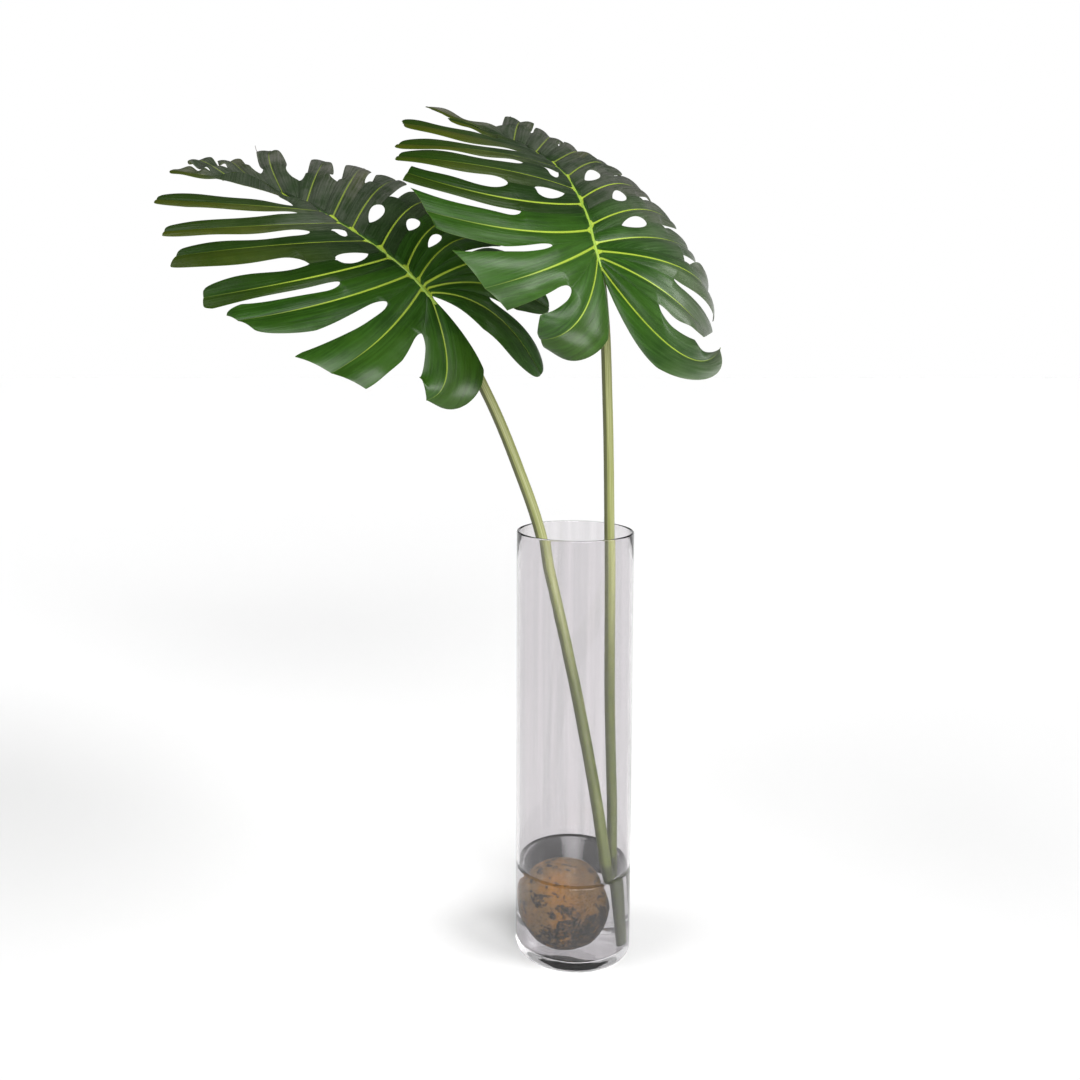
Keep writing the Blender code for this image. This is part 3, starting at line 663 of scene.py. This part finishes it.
class Side:
    """The lobes of one side of a leaf, base to apex, and the end lobe."""

    def __init__(self, leaf, side):
        self.leaf = leaf
        self.side = side
        self.lobes = list(getattr(leaf, side)) + [leaf.end]

    def vein(self, number, rows):
        if number == len(self.lobes) - 1:
            end = self.leaf.end.station
            return through(self.leaf.midrib, end + (1 - end) * rows)
        lobe = self.lobes[number]
        root = through(self.leaf.midrib, lobe.station)[0]
        ahead, behind = through(self.leaf.midrib, (lobe.station + 0.02, lobe.station - 0.02))
        forward = unit(ahead - behind)
        chord = np.array(lobe.tip) - root
        length = np.linalg.norm(chord)
        outward = unit(chord - chord @ forward * forward)
        upward = np.cross(forward, outward) * (-1 if self.side == "far" else 1)
        bend = root + chord / 2 + 2 * length * (lobe.arch * upward + lobe.lead * forward)
        t = rows[:, None]
        return (1 - t)**2 * root + 2 * t * (1 - t) * bend + t**2 * np.array(lobe.tip)

    def guides(self, number, rows):
        """A vein's points, the ways along it, across it and up from the blade, and its neighbours."""
        line = self.vein(number, rows)
        before = self.vein(number - 1, rows) if number else None
        after = self.vein(number + 1, rows) if number + 1 < len(self.lobes) else None
        along = unit(np.gradient(line, rows, axis=0))
        across = (line if after is None else after) - (line if before is None else before)
        across = unit(across - (across * along).sum(1, keepdims=True) * along)
        up = np.cross(across, along) * (-1 if self.side == "far" else 1)
        return line, along, across, up, before, after

    def edge(self, number, towards_apex):
        """One edge of a lobe: it meets its neighbour in the web, then runs free to the tip."""
        lobe = self.lobes[number]
        cut = lobe if towards_apex else self.lobes[number - 1]
        alone = not towards_apex and not number
        rows = ROWS if alone else rows_for(cut)
        line, along, across, up, before, after = self.guides(number, rows)
        if not towards_apex:
            across = -across
        straight = SHORT_EDGE if towards_apex else LONG_EDGE
        taper = rounding(1 - (rows - straight) / (1 - straight))
        width = lobe.widths[towards_apex]
        free = (width * (lobe.blunt + (1 - lobe.blunt) * taper**lobe.point))[:, None]
        lean = lobe.slant * width * ease((rows - LEAN_START) / (1 - LEAN_START))[:, None] * along
        line = line + lean if towards_apex else line - lean
        phase = 1.7 * number + 2.6 * towards_apex
        waves = WAVE_COUNT + 0.4 * math.sin(phase)
        wave = WAVE + CRINKLE * ease(4 * lobe.station - 0.6) * (self.side == "far")
        wave = wave * np.sin(2 * math.pi * waves * rows + phase)[:, None]
        if alone:
            open_edge = across * free * (np.clip(rows / SINUS, 0.0, 1.0) ** 0.8)[:, None]
            return line + open_edge + up * wave * ease(rows)[:, None]
        neighbour = after if towards_apex else before
        half = (neighbour - line) * (cut.part if towards_apex else 1 - cut.part)
        reach = np.linalg.norm(half, axis=1, keepdims=True)
        opened = rounding((rows - cut.slot) / SLOT_ROUND)[:, None]
        spread = ease((rows - cut.slot) / (1 - cut.slot))[:, None]
        direction = unit(unit(half) * (1 - spread) + across * spread)
        distance = reach * (1 - opened) + np.minimum(free, reach * (1 - cut.gap)) * opened
        if cut.hole:
            start, end = cut.hole
            inside = np.clip((rows - start) / (end - start), 0.0, 1.0)
            swell = (2.3 * inside**0.75 * (1 - inside) ** 0.5).clip(0, 1)
            distance = distance * (1 - HOLE_WIDTH[self.side][towards_apex] * swell)[:, None]
        pucker = PUCKER * reach * (1 - opened)
        return line + direction * distance + up * (pucker + wave * opened * (1 - rows[:, None]**6))

    def looks(self, number, length):
        """Vein width, painted olive light and painted sheen: two rows of numbers and one number."""
        station = self.lobes[number].station
        widths = VEIN_WIDTH * (1 - ROWS) ** 0.8 * min(1.0, length / FULL_LENGTH) + VEIN_END
        if self.side == "far":
            drift, start = PAINTED_SHEEN_SPREAD[self.leaf.name]
            dust = ease((station + drift * ROWS - start) / 0.30) * (0.4 + 0.6 * ROWS)
            return widths, 0.5 + 0.5 * math.sin(2.3 * number + 4.0), dust
        if station > FAINT_FROM:
            widths = FAINT_WIDTH * widths
        painted_olive_light = 1.0 if station > PAINTED_OLIVE_FROM else 0.5 + 0.5 * math.sin(2.3 * number + 1.1)
        return widths, painted_olive_light, 0.6 * ease((station - 0.15) / 0.25) * (1 - ROWS)**2

    def footing(self, number, below, above, last):
        """The midrib's stations beside a lobe's first row, with so many columns on each side."""
        station = self.lobes[number].station
        first = (self.lobes[number - 1].station + station) / 2 if number else 0.0
        if not above:
            return np.linspace(first, last, below + 1)
        last = (station + self.lobes[number + 1].station) / 2
        return np.concatenate([np.linspace(first, station, below + 1),
                               np.linspace(station, last, above + 1)[1:]])


def half_columns(vein, edge, up):
    """Columns of points from a vein to an edge: close together at both, and bulged between them."""
    reach = np.linalg.norm(edge - vein, axis=1)
    whole = np.maximum(reach, 1e-6)
    shares = [np.minimum(distance / whole, most) for distance, most in VEIN_COLUMNS]
    shares += [np.full(len(reach), share) for share in WEB_COLUMNS]
    shares += [1 - np.minimum(distance / whole, most) for distance, most in HEM_COLUMNS]
    columns = []
    for share in shares:
        bow = BULGE * 4 * share * (1 - share) * reach
        columns.append((vein + (edge - vein) * share[:, None] + up * bow[:, None], share * reach))
    return columns


class Sheet:
    """A blade's middle surface as it grows: its points, what the material reads, and its faces."""

    def __init__(self):
        self.points = []
        self.facts = []
        self.faces = []

    def put(self, point, gap, width, t, tint=0.0, age=0.0, dust=0.0, middle=False):
        self.points.append(point)
        self.facts.append((gap, width, t, tint, age, dust, middle))
        return len(self.points) - 1

    def face(self, corners, side):
        """Adds a triangle, turned so that both sides of the leaf face up, unless it is flat."""
        if len(set(corners)) == 3:
            self.faces.append(corners if side == "near" else corners[::-1])

    def zip_up(self, midrib, stations, hem, hem_stations, side):
        """Joins the midrib to the first row of one side by a strip of triangles."""
        one = 0
        two = 0
        while one < len(midrib) - 1 or two < len(hem) - 1:
            step_hem = one == len(midrib) - 1 or (
                two < len(hem) - 1 and hem_stations[two + 1] <= stations[one + 1]
            )
            if step_hem:
                self.face((midrib[one], hem[two + 1], hem[two]), side)
                two += 1
            else:
                self.face((midrib[one], midrib[one + 1], hem[two]), side)
                one += 1


def blade(leaf):
    """A blade's middle surface, lobe by lobe, then thickened, with what its material reads."""
    sheet = Sheet()
    end_start = leaf.end.station + (1 - leaf.end.station) * ROWS[0]
    stations = np.linspace(0.0, end_start, MIDRIB_STATIONS)
    midrib = [sheet.put(point, 0.0, 0.0012, 0.0, middle=True)
              for point in through(leaf.midrib, stations)]
    ends = leaf.end.station + (1 - leaf.end.station) * ROWS[1:]
    tip_line = midrib[-1:]
    for point, t in zip(through(leaf.midrib, ends), ROWS[1:]):
        tip_line.append(sheet.put(point, 0.0, 0.0010 * (1 - t) + 0.0003, t, age=1.0))
    every_row = range(len(ROWS))

    for side in ("near", "far"):
        work = Side(leaf, side)
        hem = []
        hem_stations = []
        previous = None
        for number, lobe in enumerate(work.lobes):
            last_lobe = number == len(work.lobes) - 1
            line, along, across, up, before, after = work.guides(number, ROWS)
            low = work.edge(number, False)
            shut = np.zeros(len(ROWS), bool)
            if number:
                cut = work.lobes[number - 1]
                shut = ~opened_at(cut, rows_for(cut))
                shared = np.array([sheet.points[previous[row][-1]] for row in every_row])
                low[shut] = shared[shut]
            columns = [(low, np.linalg.norm(low - line, axis=1))]
            columns += half_columns(line, low, up)[::-1]
            middle = len(columns)
            columns.append((line, np.zeros(len(ROWS))))
            if not last_lobe:
                high = work.edge(number, True)
                columns += half_columns(line, high, up)
                columns.append((high, np.linalg.norm(high - line, axis=1)))
            widths, tint, dust = work.looks(number, np.linalg.norm(line[-1] - line[0]))
            grid = []
            for row in every_row:
                across_row = []
                for column, (places, gaps) in enumerate(columns):
                    if column == 0 and shut[row]:
                        across_row.append(previous[row][-1])
                    elif last_lobe and column == middle:
                        across_row.append(tip_line[row])
                    else:
                        across_row.append(sheet.put(
                            places[row], gaps[row], widths[row], ROWS[row],
                            tint * (1.0 if column < middle else 0.2), lobe.station, dust[row]))
                grid.append(across_row)
            for lower, upper in zip(grid, grid[1:]):
                for column in range(len(columns) - 1):
                    a, b = lower[column:column + 2]
                    d, c = upper[column:column + 2]
                    sheet.face((a, b, c), side)
                    sheet.face((a, c, d), side)
            spread = work.footing(number, middle, len(columns) - middle - 1, end_start)
            first = 1 if number else 0
            hem += grid[0][first:]
            hem_stations += list(spread[first:])
            previous = grid
        sheet.zip_up(midrib, stations, hem, hem_stations, side)
    return thickened(leaf.name + "_blade", sheet)


def thickened(name, sheet):
    """A closed solid round the surface, thin at its hem and ribbed below each vein."""
    points = np.array(sheet.points)
    faces = np.array(sheet.faces)
    gap, width, t, tint, age, dust, middle = np.array(sheet.facts, float).T
    corners = points[faces]
    facing = np.cross(corners[:, 1] - corners[:, 0], corners[:, 2] - corners[:, 0])
    normals = np.zeros_like(points)
    for corner in range(3):
        np.add.at(normals, faces[:, corner], facing)
    normals = unit(normals)
    edges = {}
    for face in faces.tolist():
        for edge in zip(face, face[1:] + face[:1]):
            edges[edge] = True
    rim = [(a, b) for a, b in edges if (b, a) not in edges]
    tree = KDTree(len(rim) * RIM_SAMPLES)
    for number, (a, b) in enumerate(rim):
        for step in range(RIM_SAMPLES):
            spot = points[a] + (points[b] - points[a]) * step / RIM_SAMPLES
            tree.insert(spot, number * RIM_SAMPLES + step)
    tree.balance()
    to_hem = np.array([tree.find(point)[2] for point in points])
    on_vein = np.clip(1 - gap / (2.2 * width), 0.0, 1.0) * (1 - t)
    body = (BLADE_THICKNESS - HEM_THICKNESS) * np.clip(to_hem / HEM_BAND, 0, 1)
    half = (HEM_THICKNESS + body) / 2
    top = points + normals * (half + VEIN_CREST * on_vein)[:, None]
    keel = VEIN_KEEL * on_vein + MIDRIB_KEEL * middle
    bottom = points - normals * (half + keel)[:, None]
    count = len(points)
    solid = faces.tolist() + (faces[:, ::-1] + count).tolist()
    solid += [(b, a, a + count, b + count) for a, b in rim]
    mesh = bpy.data.meshes.new(name)
    mesh.from_pydata(np.concatenate([top, bottom]).tolist(), [], solid)
    mesh.validate()
    mesh.shade_smooth()
    mesh.set_sharp_from_angle(angle=math.radians(60))
    for fact, values in (
        ("vein", np.minimum(gap / width, FARTHEST_VEIN)), ("gap", gap * 1000),
        ("hem", to_hem * 1000), ("reach", t), ("tint", tint), ("age", age), ("dust", dust),
    ):
        keep(mesh, fact, np.tile(values, 2))
    keep(mesh, "under", np.repeat((0.0, 1.0), count))
    return mesh


lamina = Finish("leaf_green", IOR=1.45, Specular_IOR_Level=0.12, Coat_Roughness=0.33)
place = lamina.place()
vein, gap, hem, reach, tint, age, dust, under = (
    lamina.mark(name)
    for name in ("vein", "gap", "hem", "reach", "tint", "age", "dust", "under")
)
broad = lamina.clouds(place, 14.0, roughness=0.55)
mottle = lamina.clouds(place, 70.0, detail=4.0, roughness=0.6)
cells = lamina.clouds(place, 420.0, detail=2.0)
lane = lamina.add("ShaderNodeCombineXYZ", None, {0: gap * 0.42, 1: reach * 3.5, 2: tint * 9.0})
streaks = lamina.clouds(lane, 1.0, roughness=0.55)
green = lamina.blend(broad.rise(0.36, 0.64), LEAF_DEEP, LEAF_GREEN)
green = lamina.blend(streaks.rise(0.45, 0.68) * 0.60, green, LEAF_STREAK)
# Painted shade: darker streaks stand for shade in the blade's shallow creases.
green = lamina.blend(streaks.rise(0.46, 0.30) * 0.40, green, LEAF_CREASE_SHADE)
green = lamina.blend(mottle.rise(0.50, 0.75) * 0.25, green, LEAF_MOTTLE)
# Painted shade: lobes further out along the midrib, which face upwards, are painted much darker for
# the dimmer light on them.
green = lamina.blend(age.rise(0.06, 0.22) * 0.72, green, LEAF_PAINTED_SHADE)
# Painted light: towards its end, the petiole-side half of a lobe turns olive for light shining
# through it, most on lobes far out along the midrib.
painted_olive_light = reach.rise(0.10, 0.75) * tint * (0.20 + 0.65 * age.rise(0.20, 0.38)) * (0.5 + mottle * 0.8)
green = lamina.blend(painted_olive_light, green, LEAF_PAINTED_OLIVE_LIGHT)
flecked = (broad * 0.4 + mottle * 0.2 + streaks * 0.4).rise(0.36, 0.62)
# Painted sheen: grey patches on the far lobes' crests, and on the near lobes beside the midrib, stand
# in for glancing reflections of the studio.
green = lamina.blend(dust * (0.18 + 0.65 * flecked), green, LEAF_PAINTED_SHEEN)
rib = vein.rise(1.30, 0.60)
pale = reach.rise(1.0, 0.35)
young = 1 - 0.55 * age.rise(0.20, 0.40)
green = lamina.blend(rib * (0.15 + 0.80 * pale) * young, green, LEAF_VEIN)
green = lamina.blend(hem.rise(0.55, 0.20) * (1 - under) * 0.35, green, LEAF_HEM)
back = lamina.blend(mottle.rise(0.4, 0.7) * 0.5, BACK_GREEN, BACK_PALE)
back = lamina.blend(rib * 0.8, back, BACK_VEIN)
lamina.set(Base_Color=lamina.blend(under, green, back))
lamina.set(Roughness=0.26 + 0.12 * mottle + 0.14 * under)
lamina.set(Coat_Weight=age.rise(0.14, 0.04) * (1 - under) * (0.20 + 0.50 * broad))
lamina.bump(cells * 0.2 + mottle * 0.8 + streaks * 1.7, 0.0009, 0.6)

midrib_skin = Finish("midrib_green", Roughness=0.34)
grain = midrib_skin.mark("grain", "Vector")
lines = midrib_skin.clouds(midrib_skin.stretched(grain, (3.0, 3.0, 30.0)), 1.0, roughness=0.6)
skin = midrib_skin.blend(lines, MIDRIB_GREEN, MIDRIB_PALE)
# Painted sheen: the midrib turns a dull grey-green from about a third of the way to its tip.
midrib_sheen = midrib_skin.mark("share").rise(0.28, 0.55) * 0.85
midrib_skin.set(Base_Color=midrib_skin.blend(midrib_sheen, skin, MIDRIB_PAINTED_SHEEN))
midrib_skin.bump(lines, 0.0003, 0.3)

shares = np.linspace(0.0, 0.985, MIDRIB_RINGS)
radii = MIDRIB_RADIUS * (1 - shares) ** 0.7 + MIDRIB_END
for leaf in (LEFT_LEAF, RIGHT_LEAF):
    show(leaf.name + "_blade", blade(leaf), lamina, leaf.name + "_blade")
    path = through(leaf.midrib, shares)
    path[:, 2] -= radii * MIDRIB_SINK
    mesh = swept(leaf.name + "_midrib", path,
                 lambda ring: np.full(MIDRIB_SIDES, radii[ring]), MIDRIB_SIDES)
    keep(mesh, "share", np.repeat(shares, MIDRIB_SIDES))
    show(leaf.name + "_midrib", mesh, midrib_skin, None)

# The threads are the dried-up tips of one lobe at the back edge of each leaf. They are brown,
# stiff and as thin as string, and they curl up from the lobe that they grew on.
THREADS = {
    "left_thread": ((-0.388, 0.3830, 0.9190), (-0.396, 0.3845, 0.9180), (-0.406, 0.3850, 0.9170),
                    (-0.412, 0.3852, 0.9205), (-0.4145, 0.3854, 0.9285)),
    "right_thread": ((-0.046, 0.2835, 0.9370), (-0.053, 0.2850, 0.9378), (-0.058, 0.2856, 0.9390),
                     (-0.062, 0.2860, 0.9430), (-0.0635, 0.2864, 0.9495)),
}
THREAD_RINGS = 24
THREAD_SIDES = 10
THREAD_RADIUS = 0.0008
THREAD_END = 0.0003
DRY_BROWN = (0.10, 0.085, 0.075)

dry = Finish("dry_tip", Base_Color=DRY_BROWN, Roughness=0.6)
shares = np.linspace(0.0, 1.0, THREAD_RINGS)
radii = THREAD_RADIUS * (1 - shares) + THREAD_END
for name, points in THREADS.items():
    mesh = swept(name, through(points, shares),
                 lambda ring: np.full(THREAD_SIDES, radii[ring]), THREAD_SIDES)
    show(name, mesh, dry, None)

# The object stands on a wide sheet of plain pale paper. The sheet lies a hair below the foot, so
# the two surfaces don't fight, and a faint cloudiness keeps it from looking like plastic.
PAPER_SIZE = 30.0
PAPER_DROP = 0.0002
PAPER_GREY = (0.945, 0.945, 0.945)
PAPER_WHITE = (0.955, 0.955, 0.955)

bpy.ops.mesh.primitive_plane_add(size=PAPER_SIZE, location=(0.0, 0.0, -PAPER_DROP))
ground = bpy.context.object
ground.name = "floor"
paper = Finish("pale_paper", Roughness=0.9)
paper_grain = paper.clouds(paper.place(), 3.0, detail=2.0)
paper.set(Base_Color=paper.blend(paper_grain, PAPER_GREY, PAPER_WHITE))
ground.data.materials.append(paper.material)

# The studio is plain white to the camera and through the glass. What it sheds on the object is
# weaker from above and from the camera's side. Three broad lamps give the sheen and soft shadows:
# one high on the right, one high on the left and one low in front.
WALL_TOP = (0.02, 0.38)
CEILING_LIGHT = 0.08
BACK_TO_FRONT = (-0.3, 0.4)
FRONT_LIGHT = 0.30
LAMPS = (
    ("key_light", 1.80, 32, (48, 0, 70)),
    ("fill_light", 1.10, 36, (48, 0, -74)),
    ("front_light", 4.6, 50, (75, 0, 14)),
)

world = bpy.data.worlds.new("studio")
bpy.context.scene.world = world
world.use_nodes = True
studio = Tree(world.node_tree)
toward = studio.place("Generated")
walls = 1 - (1 - CEILING_LIGHT) * studio.axis(toward, 2).rise(*WALL_TOP)
behind = FRONT_LIGHT + (1 - FRONT_LIGHT) * studio.axis(toward, 1).rise(*BACK_TO_FRONT)
seen = studio.add("ShaderNodeLightPath", out="Is Camera Ray").most(
    studio.add("ShaderNodeLightPath", out="Is Transmission Ray"))
sky = studio.nodes["Background"]
studio.join(sky.inputs["Color"], (1.0, 1.0, 1.0))
studio.join(sky.inputs["Strength"], seen.most(walls * behind))

for name, power, spread, turn in LAMPS:
    light = bpy.data.lights.new(name, "SUN")
    light.energy = power
    light.angle = math.radians(spread)
    lamp = bpy.data.objects.new(name, light)
    lamp.rotation_euler = [math.radians(angle) for angle in turn]
    bpy.context.scene.collection.objects.link(lamp)

# The camera stands where the photograph was taken from, about a metre in front of the vase and a
# little above the blades' lower edge. It looks slightly down, and its frame is shifted off the
# lens's axis as the photograph's is.
CAMERA_PLACE = (-0.098, -1.152, 0.671)
CAMERA_PITCH = 4.87
PHOTO_SIZE = 1080
FOCAL_PIXELS = 1090
OPTICAL_CENTRE = (483.6, 425.0)
SENSOR = 36.0

view = bpy.data.cameras.new("camera")
view.sensor_width = SENSOR
view.lens = SENSOR * FOCAL_PIXELS / PHOTO_SIZE
view.shift_x = 0.5 - OPTICAL_CENTRE[0] / PHOTO_SIZE
view.shift_y = OPTICAL_CENTRE[1] / PHOTO_SIZE - 0.5
camera = bpy.data.objects.new("camera", view)
camera.location = CAMERA_PLACE
camera.rotation_euler = (math.radians(90 - CAMERA_PITCH), 0.0, 0.0)
bpy.context.scene.collection.objects.link(camera)
bpy.context.scene.camera = camera
bpy.context.scene.view_settings.view_transform = "Standard"
